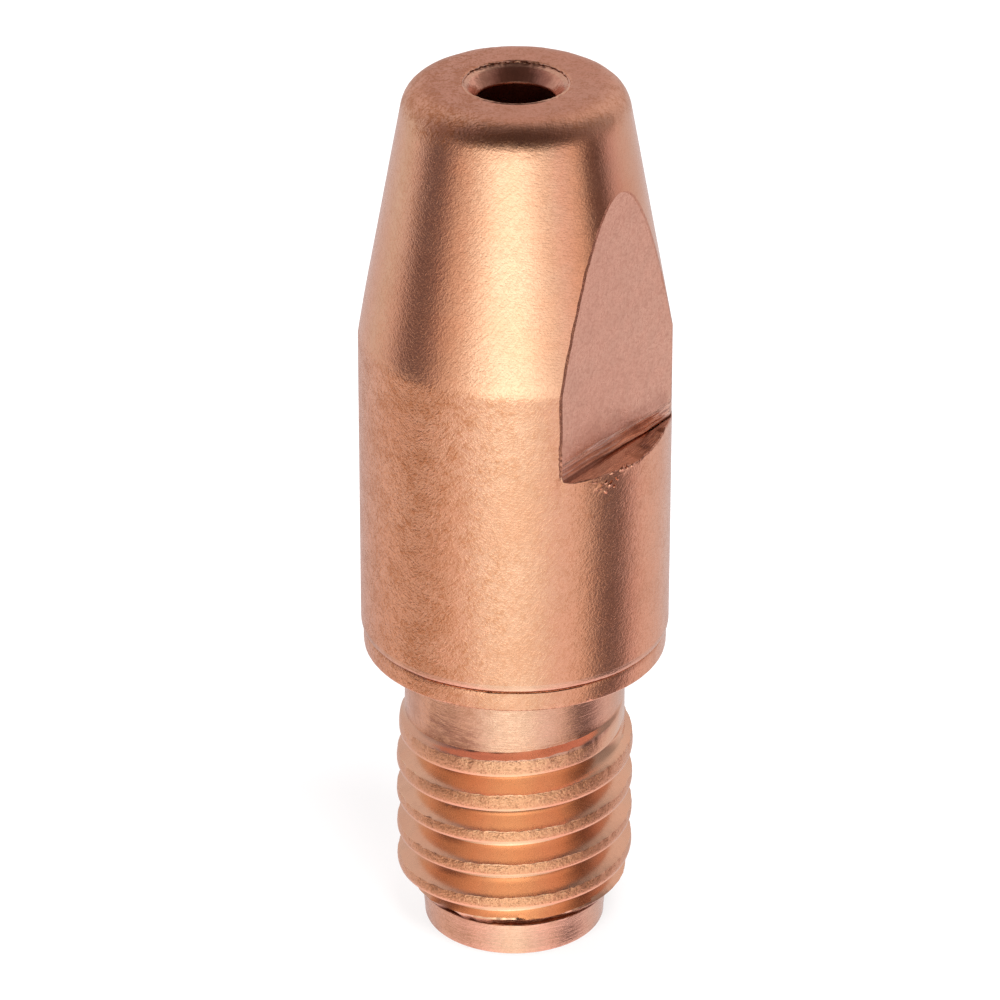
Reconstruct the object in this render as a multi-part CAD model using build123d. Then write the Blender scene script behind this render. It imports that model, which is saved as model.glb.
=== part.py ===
from build123d import *
from math import atan2, ceil, cos, degrees, radians, tan
import os

# Contact tip of a gas-shielded arc welding torch: one piece, turned from copper bar.
# Millimetres. The axis is Z and the nose is up. The origin is the centre of the rear end
# face, and +X is the outward normal of one of the two wrench flats.

# Head and nose
total_length = 30.0
body_diameter = 10.0
nose_length = 8.5
nose_tip_diameter = 6.9
nose_round = 1.0

# Seat collar, whose underside closes against the diffuser
seat_height = 10.3
collar_height = 0.8
collar_step = 0.08
collar_edge = 0.1
seat_corner = 0.15

# Wrench flats, milled with a cutter that leaves a small corner radius
across_flats = 7.9
flat_bottom = 18.4
flat_corner = 0.2

# Bore for a 2.0 mm wire, opened at both ends
bore_diameter = 2.4
nose_countersink_diameter = 3.25
nose_countersink_angle = 75.0
inlet_diameter = 4.0
inlet_angle = 60.0

# Right-hand M8 x 1.25 thread, rolled on a blank that stays as the neck under the collar
thread_pitch = 1.25
thread_angle = 60.0
crest_diameter = 7.78
root_diameter = 6.5
blank_diameter = 7.2
thread_top = 7.9
thread_end_direction = 25.6
run_out_turns = 0.22
pitch_line_land = 0.012

# Turned end ahead of the thread: pilot and lead
pilot_diameter = 5.94
pilot_top_diameter = 6.2
pilot_height = 1.1
pilot_edge = 0.12
lead_angle = 40.0

# How far a cutting tool passes what it cuts, and how deep a ridge's foot is buried
overrun = 2.0
bury = 0.1

body_radius = body_diameter / 2
blank_radius = blank_diameter / 2
crest_radius = crest_diameter / 2
root_radius = root_diameter / 2
bore_radius = bore_diameter / 2
nose_start = total_length - nose_length
collar_top = seat_height + collar_height
collar_radius = body_radius - collar_step


def rounded_corner(section, x, z, radius):
    """The section with its corner at (x, z) rounded."""
    corner = section.vertices().sort_by_distance((x, z))[0]
    return fillet(corner, radius)


def bevelled_corner(section, x, z, length):
    """The section with its corner at (x, z) bevelled at 45 degrees."""
    corner = section.vertices().sort_by_distance((x, z))[0]
    return chamfer(corner, length)


def turned_blank():
    """Outer form before threading: plain shank, collar, body, taper and rounded nose."""
    tip_radius = nose_tip_diameter / 2
    section = make_face(
        Polyline(
            (0, 0),
            (blank_radius, 0),
            (blank_radius, seat_height),
            (collar_radius, seat_height),
            (collar_radius, collar_top),
            (body_radius, collar_top),
            (body_radius, nose_start),
            (tip_radius, total_length),
            (0, total_length),
            close=True,
        )
    )
    section = rounded_corner(section, tip_radius, total_length, nose_round)
    section = bevelled_corner(section, collar_radius, seat_height, collar_edge)
    section = bevelled_corner(section, blank_radius, seat_height, seat_corner)
    return revolve(Plane.XZ * section, Axis.Z)


def wire_bore():
    """Straight bore with a countersink at the nose and a longer inlet cone at the rear."""
    countersink_radius = nose_countersink_diameter / 2
    inlet_radius = inlet_diameter / 2
    nose_slope = tan(radians(nose_countersink_angle / 2))
    inlet_slope = tan(radians(inlet_angle / 2))
    nose_depth = (countersink_radius - bore_radius) / nose_slope
    inlet_depth = (inlet_radius - bore_radius) / inlet_slope
    section = make_face(
        Polyline(
            (0, -overrun),
            (inlet_radius + overrun * inlet_slope, -overrun),
            (bore_radius, inlet_depth),
            (bore_radius, total_length - nose_depth),
            (countersink_radius + overrun * nose_slope, total_length + overrun),
            (0, total_length + overrun),
            close=True,
        )
    )
    return revolve(Plane.XZ * section, Axis.Z)


def wrench_flat():
    """Cutter's path for the flat on +X, open at the nose and square at its shoulder."""
    flat_distance = across_flats / 2
    outside = body_radius + overrun
    section = make_face(
        Polyline(
            (flat_distance, flat_bottom),
            (outside, flat_bottom),
            (outside, total_length + overrun),
            (flat_distance, total_length + overrun),
            close=True,
        )
    )
    section = rounded_corner(section, flat_distance, flat_bottom, flat_corner)
    return extrude(Plane.XZ * section, outside, both=True)


def half_width(radius):
    """Half the thread tooth's axial width at a radius: a quarter pitch at the blank."""
    return thread_pitch / 4 - (radius - blank_radius) * tan(radians(thread_angle / 2))


def helical_edge(start_radius, end_radius, start, turns):
    """One edge of the thread, on a cylinder, or on a cone where its radius changes."""
    rise = turns * thread_pitch
    lean = atan2(end_radius - start_radius, rise)
    line = Helix(
        thread_pitch / cos(lean), rise, start_radius, (0, 0, start), cone_angle=degrees(lean)
    )
    return line.edge()


def helical_faces(corners, start, turns):
    """Ruled faces round a bar that follows the thread.

    Each corner is its radius at the start and at the end, and its offset along the axis.
    """
    edges = [helical_edge(first, last, start + rise, turns) for first, last, rise in corners]
    neighbours = edges[1:] + edges[:1]
    return [Face.make_surface_from_curves(a, b) for a, b in zip(edges, neighbours)]


def helical_bar(corners, end_radii, start, turns):
    """Closed bar along the thread, whose corners move to end_radii in its run-out."""
    full_turns = turns - run_out_turns
    full_rise = full_turns * thread_pitch
    steady = [(radius, radius, rise) for radius, rise in corners]
    fading = [(radius, end, rise) for (radius, rise), end in zip(corners, end_radii)]
    run_out = Rot(0, 0, 360 * full_turns)
    faces = helical_faces(steady, start, full_turns)
    faces += [run_out * face for face in helical_faces(fading, start + full_rise, run_out_turns)]
    first = [(radius, 0, start + rise) for radius, rise in corners]
    end = start + turns * thread_pitch
    last = [(radius, 0, end + rise) for radius, (_, rise) in zip(end_radii, corners)]
    faces.append(make_face(Polyline(*first, close=True)).face())
    faces.append((Rot(0, 0, 360 * turns) * make_face(Polyline(*last, close=True))).face())
    return Solid(Shell(faces))


def section_corners(inner_radius, outer_radius, inner_half, outer_half):
    """Trapezoid of the thread's section, as radius and offset along the axis."""
    return [
        (inner_radius, -inner_half),
        (outer_radius, -outer_half),
        (outer_radius, outer_half),
        (inner_radius, inner_half),
    ]


def thread_turns():
    """Whole turns from below the lead up to where the last ridge dies away."""
    return ceil((thread_top - pilot_height) / thread_pitch)


def thread_ridge():
    """Tooth above the blank, which sinks into the blank along its run-out."""
    foot_radius = blank_radius - bury
    sunk_radius = blank_radius - bury / 2
    corners = section_corners(
        foot_radius,
        crest_radius,
        half_width(foot_radius) - pitch_line_land,
        half_width(crest_radius) - pitch_line_land,
    )
    end_radii = [foot_radius, sunk_radius, sunk_radius, foot_radius]
    turns = thread_turns()
    return helical_bar(corners, end_radii, thread_top - turns * thread_pitch, turns)


def thread_groove():
    """Groove below the blank's surface, which comes up to the surface along its run-out."""
    mouth_radius = blank_radius + bury
    lifted_radius = blank_radius + bury / 2
    space = thread_pitch / 2
    corners = section_corners(
        root_radius,
        mouth_radius,
        space - half_width(root_radius),
        space - half_width(mouth_radius),
    )
    end_radii = [lifted_radius, mouth_radius, mouth_radius, lifted_radius]
    turns = thread_turns() + 1
    return helical_bar(corners, end_radii, thread_top - space - turns * thread_pitch, turns)


def end_turning():
    """Ring of metal that is turned off the rear end, which leaves the pilot and the lead."""
    pilot_radius = pilot_diameter / 2
    pilot_top_radius = pilot_top_diameter / 2
    outside = crest_radius + overrun
    lead_height = (outside - pilot_top_radius) / tan(radians(lead_angle))
    section = make_face(
        Polyline(
            (pilot_radius, -overrun),
            (pilot_radius, 0),
            (pilot_top_radius, pilot_height),
            (outside, pilot_height + lead_height),
            (outside, -overrun),
            close=True,
        )
    )
    return revolve(Plane.XZ * section, Axis.Z)


def bevelled_rear_edge(tip):
    """The tip with the pilot's outer edge bevelled at the rear end face."""
    circles = tip.edges().filter_by(GeomType.CIRCLE).filter_by_position(Axis.Z, 0, 0)
    return chamfer(circles.sort_by(SortBy.RADIUS)[-1], pilot_edge)


def contact_tip():
    """The whole tip as one solid."""
    along_thread = Rot(0, 0, thread_end_direction)
    tip = turned_blank()
    tip += along_thread * thread_ridge()
    tip -= along_thread * thread_groove()
    tip -= end_turning()
    tip = bevelled_rear_edge(tip)
    tip -= wire_bore()
    flat = wrench_flat()
    tip -= flat
    tip -= Rot(0, 0, 180) * flat
    return tip


os.makedirs("parts", exist_ok=True)
export_step(contact_tip(), "parts/contact_tip.step")
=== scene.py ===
from math import (acos, asin, atan, atan2, copysign, cos, degrees, exp, hypot, pi, radians, sin,
                  sqrt, tan)

import bmesh
import bpy
from mathutils import Matrix, Vector, noise


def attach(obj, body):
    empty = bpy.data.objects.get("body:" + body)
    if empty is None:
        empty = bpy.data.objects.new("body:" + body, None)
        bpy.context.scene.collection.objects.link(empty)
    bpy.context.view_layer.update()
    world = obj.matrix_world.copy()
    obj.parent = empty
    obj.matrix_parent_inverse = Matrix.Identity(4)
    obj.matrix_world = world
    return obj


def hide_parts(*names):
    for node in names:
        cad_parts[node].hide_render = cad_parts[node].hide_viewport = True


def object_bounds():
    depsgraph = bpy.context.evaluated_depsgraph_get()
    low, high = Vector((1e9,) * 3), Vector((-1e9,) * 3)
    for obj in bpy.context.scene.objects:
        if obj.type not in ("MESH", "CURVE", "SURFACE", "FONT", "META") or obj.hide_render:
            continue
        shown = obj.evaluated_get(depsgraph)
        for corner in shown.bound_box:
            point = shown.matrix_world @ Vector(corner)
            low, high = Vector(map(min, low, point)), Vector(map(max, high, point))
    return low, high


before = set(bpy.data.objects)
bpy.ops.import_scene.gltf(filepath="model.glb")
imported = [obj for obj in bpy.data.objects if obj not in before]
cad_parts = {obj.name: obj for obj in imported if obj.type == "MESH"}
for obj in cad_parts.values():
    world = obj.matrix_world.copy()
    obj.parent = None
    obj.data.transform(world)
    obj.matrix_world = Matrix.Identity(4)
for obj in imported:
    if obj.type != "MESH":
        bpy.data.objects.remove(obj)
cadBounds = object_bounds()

mm = 0.001          # the tables below are in millimetres
print("frame loaded:", ", ".join(sorted(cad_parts)))


# Small helpers

def clamp(value, low=0.0, high=1.0):
    return max(low, min(high, value))


def mix(first, second, amount):
    return first + (second - first) * amount


def smoothStep(start, end, value):
    t = clamp((value - start) / (end - start))
    return t * t * (3 - 2 * t)


def bell(distance, width):
    return exp(-(distance / width) ** 2)


def alongTable(table, value):
    # straight lines between the table's pairs
    if value <= table[0][0]:
        return table[0][1]
    for (a, first), (b, second) in zip(table, table[1:]):
        if value <= b:
            return mix(first, second, (value - a) / (b - a))
    return table[-1][1]


def noiseAt(x, y, z):
    return noise.noise(Vector((x, y, z)))


grainRadius = 4     # radius of the surface on which wobble's grain sizes are true


def wobble(angle, z, across, along, seed):
    # smooth noise on the turned surface, with its grain size round it and along it
    x = cos(angle) * grainRadius / across
    y = sin(angle) * grainRadius / across
    return noiseAt(x + seed, y - seed, z / along + seed * 0.37)


def awayFrom(azimuth, elevation):
    # direction in which a camera or a lamp stands
    azimuth, elevation = radians(azimuth), radians(elevation)
    return Vector((cos(azimuth) * cos(elevation), sin(azimuth) * cos(elevation), sin(elevation)))


def addObject(name, data):
    made = bpy.data.objects.new(name, data)
    bpy.context.scene.collection.objects.link(made)
    return made


# Camera

camera = {
    "azimuth": -54.4,          # degrees from +X round to where it stands
    "elevation": 27.858,
    "distance": 187.123,
    "target": (0, 0, 15),
    "lens": 209.27,
    "shift": (-0.0151, 0.0093),
    "roll": 0.123,
    "clip": (0.01, 20),        # nearest and farthest that it sees, in metres
}


def addCamera():
    data = bpy.data.cameras.new("productCamera")
    data.lens = camera["lens"]
    data.shift_x, data.shift_y = camera["shift"]
    data.clip_start, data.clip_end = camera["clip"]
    made = addObject("productCamera", data)
    away = awayFrom(camera["azimuth"], camera["elevation"])
    place = Vector(camera["target"]) * mm + away * camera["distance"] * mm
    turn = (-away).to_track_quat("-Z", "Y").to_matrix()
    turn = turn @ Matrix.Rotation(radians(camera["roll"]), 3, "Z")
    made.matrix_world = Matrix.Translation(place) @ turn.to_4x4()
    bpy.context.scene.camera = made


addCamera()
print("camera stands at the front")


# The tip's form

tip = {
    "length": 30.0,
    "bodyRadius": 5.0,
    "collarRadius": 4.92,
    "boreRadius": 1.2,
    "noseStart": 21.5,
    "noseTipRadius": 3.45,
    "noseRound": 1.0,
    "faceDrop": 0.03,          # how far the nose's face lies below the burr on its rim
    "frontAngle": -54.4,       # direction that the marks below are measured from
    "seamAngle": 125.6,        # where the mesh closes, at the back
}

flat = {
    "distance": 3.95,          # from the axis
    "bottom": 18.4,
    "columns": 32,             # on each side of its middle
    "openColumns": 76,         # between the two flats
    "climbStart": 17.5,        # where the rows below it begin to follow its shoulder
    "rowsEnd": 20.2,           # and where those above it are level again
    "cornerRound": 0.22,
    "lean": 0.055,             # the cutter left the foot of the flat leaning out by this slope
    "leanHeight": 1.3,
    "streakDepth": 0.026,
    "streaksEnd": 0.54,        # height of the streaked band at the flat's middle
    "streaksFall": 0.02,       # and how much lower it ends towards the right
    "edgeRound": 0.066,        # its outline is bevelled over this far to each side, raggedly
    "edgeJag": 0.045,
    "edgeColumns": 6,          # the bevel is full where the flat is this many columns wide
    "rimRound": 0.045,
    "lip": ((-0.2, 0.0), (0.8, 0.15), (1.35, 0.30), (1.5, 0.42), (2.2, 0.48), (3.1, 0.28)),
    # lumps of burr below the edge: distance across the flat, height, size
    "lumps": ((-1.85, 17.98, 0.07), (-1.62, 17.84, 0.06), (-1.70, 18.10, 0.06),
              (-1.45, 17.98, 0.06), (-1.12, 18.36, 0.08), (-0.86, 18.40, 0.07),
              (-0.98, 18.24, 0.06), (-0.42, 18.46, 0.06), (-0.05, 18.52, 0.05),
              (0.35, 18.58, 0.05), (-2.3, 18.30, 0.05)),
    # curled slivers and crumbs: distance across the flat, height, length, thickness, direction
    "curls": ((-1.86, 18.04, 0.30, 0.050, 100), (-1.50, 18.02, 0.32, 0.054, 60),
              (-1.71, 17.82, 0.26, 0.055, 130), (-1.68, 18.12, 0.20, 0.044, 15),
              (-1.44, 18.40, 0.28, 0.048, 25), (-1.10, 18.42, 0.26, 0.058, 35),
              (-1.25, 18.14, 0.18, 0.044, 120), (-0.84, 18.38, 0.20, 0.048, 80),
              (-0.57, 18.36, 0.26, 0.050, 20), (-0.24, 18.32, 0.24, 0.048, 35),
              (-2.06, 18.22, 0.24, 0.034, 10), (-1.36, 17.90, 0.14, 0.036, 70),
              (0.30, 18.44, 0.16, 0.036, 25)),
}

thread = {
    "pitch": 1.25,
    "frontCrest": 2.61,        # height of a crest at the front
    "rowsStart": 1.37,
    "rowsEnd": 8.60,
    "squeeze": 0.0015,         # between rows that are pressed together at the ends
    "blankRadius": 3.6,
    "crestRadius": 3.892,
    "rootRadius": 3.235,
    "rootBlend": 0.10,
    "slopeAbove": 1.732,       # of a crest's upper flank, as on a 60 degree thread
    "slopeBelow": 1.95,        # the lower flanks came out steeper
    "flankHeight": 0.286,      # of the crests' corners above the blank
    "dome": 1.4,               # radius that the crests are domed to
    # by turn: a crest's upper and lower half widths, because rolling pressed the last turns wide
    "upper": ((0.0, 0.08), (2.0, 0.09), (3.0, 0.19), (3.6, 0.23), (4.0, 0.25), (4.1, 0.32),
              (4.17, 0.33), (4.22, 0.46)),
    "lower": ((0.0, 0.32), (1.0, 0.30), (2.0, 0.32), (3.0, 0.35), (3.6, 0.33), (4.0, 0.31),
              (4.12, 0.26), (4.24, 0.20)),
    "tilt": ((2.9, 0.0), (3.5, 0.03), (4.0, 0.05)),         # slope of the whole crest
    "seam": 0.45,              # share of the lower half at which the two rolled sides meet
    "turnedUp": ((2.6, 0.14), (3.5, 0.03), (4.0, 0.0)),     # slope of the torn part above it
    "turnedDown": 0.10,        # slope of the pressed edge
    "turnedDownFrom": 0.74,    # share of the lower half at which that edge begins
    "ragged": 0.028,           # how far a crest's upper edge is worn down in places
    "ridgeFade": (4.08, 4.24), # turns at which the last ridge dies away
    "grooveFade": (3.59, 3.74),
    "notch": (4, 3.72, 0.13, 0.36),     # low place in the last ridge: ridge, turn, width, share
    "crestRows": (-1.0, -0.88, -0.74, -0.60, -0.45, -0.30, -0.14, 0.04, 0.35, 0.70, 1.0),
    "aboveRows": (0.08, 0.20, 0.34, 0.48, 0.62, 0.76, 0.88, 0.96),
    "belowRows": (0.10, 0.45, 0.80),
    "leadFoot": (3.1, 1.1),    # radius and height at which the cone ahead of it starts
    "leadSlope": 0.839,
    "undercut": ((1.30, 2.97), (1.36, 3.05), (1.5, 3.26), (1.75, 3.645)),
}

flatHalfAngle = acos(flat["distance"] / tip["bodyRadius"])
flatStep = flatHalfAngle / flat["columns"]
openStep = (pi - 2 * flatHalfAngle) / flat["openColumns"]
noseSlope = (tip["bodyRadius"] - tip["noseTipRadius"]) / (tip["length"] - tip["noseStart"])


def makeColumns():
    # each column's angle, and its angle from the middle of the nearest flat
    angles = []
    for middle in (0.0, pi):
        angles += [(middle + k * flatStep, k * flatStep)
                   for k in range(-flat["columns"], flat["columns"])]
        for k in range(flat["openColumns"]):
            beyond = flatHalfAngle + k * openStep
            nearest = beyond if beyond < pi / 2 else beyond - pi
            angles.append((middle + beyond, nearest))
    seam = radians(tip["seamAngle"])
    first = min(range(len(angles)), key=lambda n: abs(angles[n][0] - seam))
    turned = [(angle + 2 * pi, offset) for angle, offset in angles[:first]]
    return angles[first:] + turned


columns = makeColumns()
columnCount = len(columns)
farFromFlat = 999       # place of a column that is beside neither flat


def placeOf(offset):
    # a column's number from the middle of its flat; the first one outside the flat counts too
    if abs(offset) <= flatHalfAngle + 1e-6:
        return round(offset / flatStep)
    if abs(offset) < flatHalfAngle + 1.5 * openStep:
        return int(copysign(flat["columns"] + 1, offset))
    return farFromFlat


def frontDegrees(angle):
    # degrees from the front, -180 to 180, positive to the right
    return (degrees(angle) - tip["frontAngle"] + 180) % 360 - 180


def polar(radius, angle, z):
    return (radius * cos(angle), radius * sin(angle), z)


# Profile of the head, without the flats

noseCentreZ = tip["length"] - tip["noseRound"]
noseTilt = atan(noseSlope)
noseCentreR = (tip["noseTipRadius"] + noseSlope * tip["noseRound"]
               - tip["noseRound"] / cos(noseTilt))


def headRadius(z):
    if z <= tip["noseStart"]:
        return tip["bodyRadius"]
    return tip["bodyRadius"] - noseSlope * (z - tip["noseStart"])


def headWear(angle, z):
    # the body is never quite round or smooth; it only loses metal
    return -0.006 * abs(wobble(angle, z, 3.0, 4.0, 3.1))


def bodyPoint(angle, z):
    return polar(headRadius(z) + headWear(angle, z), angle, z)


def edgeJag(angle, z):
    return flat["edgeJag"] * wobble(angle, z, 0.5, 0.13, 2.7)


def headPoint(column, z):
    angle, offset = column
    distance = flat["distance"]
    radius = headRadius(z)
    place = abs(placeOf(offset))
    if radius <= distance or place == farFromFlat:
        return bodyPoint(angle, z)
    edge = acos(distance / radius)
    step = round(edge / flatStep)
    middle, side = angle - offset, copysign(1, offset)
    beyond = place - step
    # the flat's outline is rounded over by three columns: beside it, on it and outside it
    share = clamp(step / flat["edgeColumns"])
    size = flat["edgeRound"] * share
    jag = edgeJag(middle + side * edge, z) * share
    if beyond == 0:
        return polar(radius - size * sin(edge / 2), middle + side * (edge + jag / radius), z)
    if beyond == -1 and step > 2:
        across = distance * tan(edge) - size + jag
        return polar(hypot(distance, across), middle + side * atan2(across, distance), z)
    if beyond == 1 and step > 2:
        around = middle + side * (edge + (size + jag) / radius)
        return polar(radius + headWear(angle, z), around, z)
    if beyond < 0:
        return polar(distance / cos(offset), angle, z)
    return bodyPoint(angle, z)


# Shoulder under each flat

def shoulderHeight(across):
    # inner corner's height at a distance across the flat
    half = flat["distance"] * tan(flatHalfAngle)
    inside = half - flat["cornerRound"]
    if abs(across) <= inside:
        return flat["bottom"]
    reach = clamp((abs(across) - inside) / flat["cornerRound"])
    return flat["bottom"] + flat["cornerRound"] * (1 - sqrt(1 - reach * reach))


def burrHeight(across, z):
    # lumps that the cutter pushed over the edge
    total = 0.0
    for place, height, size in flat["lumps"]:
        away = hypot(across - place, z - height) / size
        if away < 2.2:
            rough = noiseAt(across * 14, z * 14, place * 5)
            total += size * 0.7 * exp(-away * away) * (0.7 + 1.2 * rough)
    return total


def besideHeight(part, amount, level, rise):
    # beside the flat a row climbs to a level, goes a little above it and then on up
    return {"climb": mix(flat["climbStart"], level, amount),
            "rim": level,
            "ledge": level + rise * amount,
            "wall": mix(level + rise, flat["rowsEnd"], amount)}[part]


def shoulderRow(column, part, amount):
    # rows climb the body, turn over the rim, run in along the ledge and go up the wall of the flat
    angle, offset = column
    middle, side = angle - offset, copysign(1, offset)
    body, distance = tip["bodyRadius"], flat["distance"]
    place = abs(placeOf(offset))
    if place > flat["columns"]:
        fade = exp(-(abs(offset) - flatHalfAngle) / radians(5))
        z = besideHeight(part, amount, flat["bottom"] + flat["cornerRound"] * fade, 0.03)
        if place != farFromFlat:
            jag = edgeJag(middle + side * flatHalfAngle, z)
            near = flatHalfAngle + (flat["edgeRound"] + jag) / body
            angle = middle + side * (mix(abs(offset), near, amount) if part == "climb" else near)
        return polar(body + headWear(angle, z), angle, z)
    if place == flat["columns"]:
        z = besideHeight(part, amount, flat["bottom"] + flat["cornerRound"], 0.0)
        share = amount if part == "climb" else 1.0
        edge = flatHalfAngle + edgeJag(middle + side * flatHalfAngle, z) * share / body
        pulled = flat["edgeRound"] * sin(flatHalfAngle / 2) * share
        return polar(body - pulled, middle + side * edge, z)
    across = distance * tan(offset)
    if place == flat["columns"] - 1:
        across = side * (distance * tan(flatHalfAngle) - flat["edgeRound"])
    inner = shoulderHeight(across)
    outerX = sqrt(body ** 2 - across ** 2)
    width = outerX - distance
    wide = clamp(width / 0.3)
    lean = flat["lean"] + 0.06 * smoothStep(0.2, 1.6, across)
    foot = min(lean * flat["leanHeight"] / 2, width * 0.4)
    lip = alongTable(flat["lip"], across) * clamp(width / 0.2) * smoothStep(0.0, 1.0, width) * 0.9
    outer = inner + lip + 0.05 * wobble(angle, 18.0, 0.20, 1.0, 5.5) * wide
    rim = flat["rimRound"] * clamp(width / 0.12)
    y = across
    if part == "climb":
        z = mix(flat["climbStart"], outer - rim, amount)
        turned = mix(offset, asin(across / body), amount)
        radius = body + headWear(angle, z) * (1 - amount)
        if cos(middle) > 0:              # only the front flat has burrs
            radius += burrHeight(across, z)
        x, y = min(radius * cos(turned), body - 0.001), radius * sin(turned)
    elif part == "rim":
        x = outerX - rim + rim * cos(amount)
        z = outer - rim + rim * sin(amount)
    elif part == "ledge":
        x = mix(outerX - rim, distance + foot, amount)
        z = mix(outer, inner, smoothStep(0, 1, amount))
        z += 0.010 * noiseAt(across * 0.25 + 3, x * 13, 2.2)
    else:
        z = mix(inner, flat["rowsEnd"], amount)
        rise = z - inner
        end = flat["streaksEnd"] - flat["streaksFall"] * across
        band = 1 - smoothStep(end - 0.05, end + 0.22, rise)
        calm = 1 - 0.7 * bell(rise - end * 0.45, end * 0.25)
        streak = noiseAt(across * 0.10 + 9, rise * 9 + across * 0.25, 4.4)
        streak += 0.5 * noiseAt(across * 0.20 + 2, rise * 15, 7.7)
        left = clamp(1 - rise / flat["leanHeight"])
        x = distance + foot * left * left
        # the wall leans out above the marks, so that it doesn't mirror the ledge's raised rim
        x += 0.055 * smoothStep(-1.4, -0.2, across) * wide * clamp((1.2 - rise) / 0.65) ** 2
        x += max(-0.4, streak) * flat["streakDepth"] * band * calm * wide
        if place == flat["columns"] - 1:
            y += side * edgeJag(middle + side * flatHalfAngle, z)
    c, s = cos(middle), sin(middle)
    return (x * c - y * s, x * s + y * c, z)


def addCurl(points, faces, curl, seed):
    # curled sliver of burr on the body, a tapered tube whose ends sink into it
    across, height, length, thick, direction = curl
    rings, sides = 9, 6
    first = len(points)
    c, s = cos(radians(direction)), sin(radians(direction))
    for ring in range(rings):
        t = ring / (rings - 1)
        bend = sin(t * pi)
        sway = 0.35 * length * noiseAt(t * 1.7, seed, 3.3)
        along = (t - 0.5) * length
        a = across + along * c - sway * s
        z = height + along * s + sway * c
        centre = sqrt(tip["bodyRadius"] ** 2 - a * a) - thick * 0.6 + thick * bend
        size = thick * (0.25 + 0.75 * bend) * (1 + 0.5 * noiseAt(t * 4, seed, 9.1))
        for side in range(sides):
            turn = 2 * pi * side / sides + 1.5 * t
            out, over = size * cos(turn), size * sin(turn)
            x = min(centre + out, tip["bodyRadius"] - 0.002)
            points.append(Vector((x, a - over * s, z + over * c)) * mm)
    for ring in range(rings - 1):
        for side in range(sides):
            low, high = first + ring * sides, first + (ring + 1) * sides
            after = (side + 1) % sides
            faces.append((low + side, low + after, high + after, high + side))
    faces.append(tuple(first + side for side in reversed(range(sides))))
    faces.append(tuple(first + (rings - 1) * sides + side for side in range(sides)))


# Rolled thread

cornerRadius = thread["blankRadius"] + thread["flankHeight"]


def softMin(first, second, blend):
    share = clamp(0.5 + 0.5 * (second - first) / blend)
    return mix(second, first, share) - blend * share * (1 - share)


def pilotGap(angle):
    # how far the gap between the pilot and the thread is open, 0 to 1
    around = frontDegrees(angle)
    opened = 0.12 + 0.8 * bell(around - 14, 26) + 0.35 * bell(around + 42, 13)
    opened += 0.4 * wobble(angle, 1.2, 0.45, 1.0, 4.1)
    return clamp(opened) * (1 - smoothStep(58, 76, abs(around)))


def leadCone(z):
    # turned ahead of the thread
    radius, height = thread["leadFoot"]
    return radius + thread["leadSlope"] * (z - height)


def leadRadius(angle, z):
    # the cone's foot is undercut where the gap is open
    if z >= thread["undercut"][-1][0]:
        return leadCone(z)
    return mix(leadCone(z), alongTable(thread["undercut"], z), pilotGap(angle))


def crestForm(ridgeTurn):
    # a crest's upper and lower half widths, its tilt and the slope of its torn part
    return [alongTable(thread[name], ridgeTurn) for name in ("upper", "lower", "tilt", "turnedUp")]


def crestRag(angle, ridgeTurn):
    # how much lower a crest's ragged upper edge stands here
    crest = round(ridgeTurn - frontDegrees(angle) / 360)
    rag = wobble(angle, crest * 3.1, 0.30, 1.0, 2.9)
    rag += 0.8 * wobble(angle, crest * 1.7, 0.13, 1.0, 8.3)
    return thread["ragged"] * rag


def crestEdges(angle, ridgeTurn):
    # distances from a crest's middle up and down to the edges where its flanks begin
    upper, lower, tilt, turnedUp = crestForm(ridgeTurn)
    short = cornerRadius - thread["crestRadius"]
    above = upper * upper / (2 * thread["dome"]) + tilt * upper + crestRag(angle, ridgeTurn)
    above += turnedUp * (upper + thread["seam"] * lower)
    below = lower * lower / (2 * thread["dome"]) - tilt * lower
    below += thread["turnedDown"] * (1 - thread["turnedDownFrom"]) * lower
    return (upper + (short + above) / thread["slopeAbove"],
            lower + (short + below) / thread["slopeBelow"])


def grooveFoot(ridgeTurn):
    # distance up from a crest's middle to the foot of the next ridge's lower flank
    nextLower = alongTable(thread["lower"], ridgeTurn + 1)
    fall = cornerRadius - thread["rootRadius"]
    foot = thread["pitch"] - nextLower - fall / thread["slopeBelow"]
    return min(foot, thread["pitch"] / 2 - 0.01)


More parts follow.
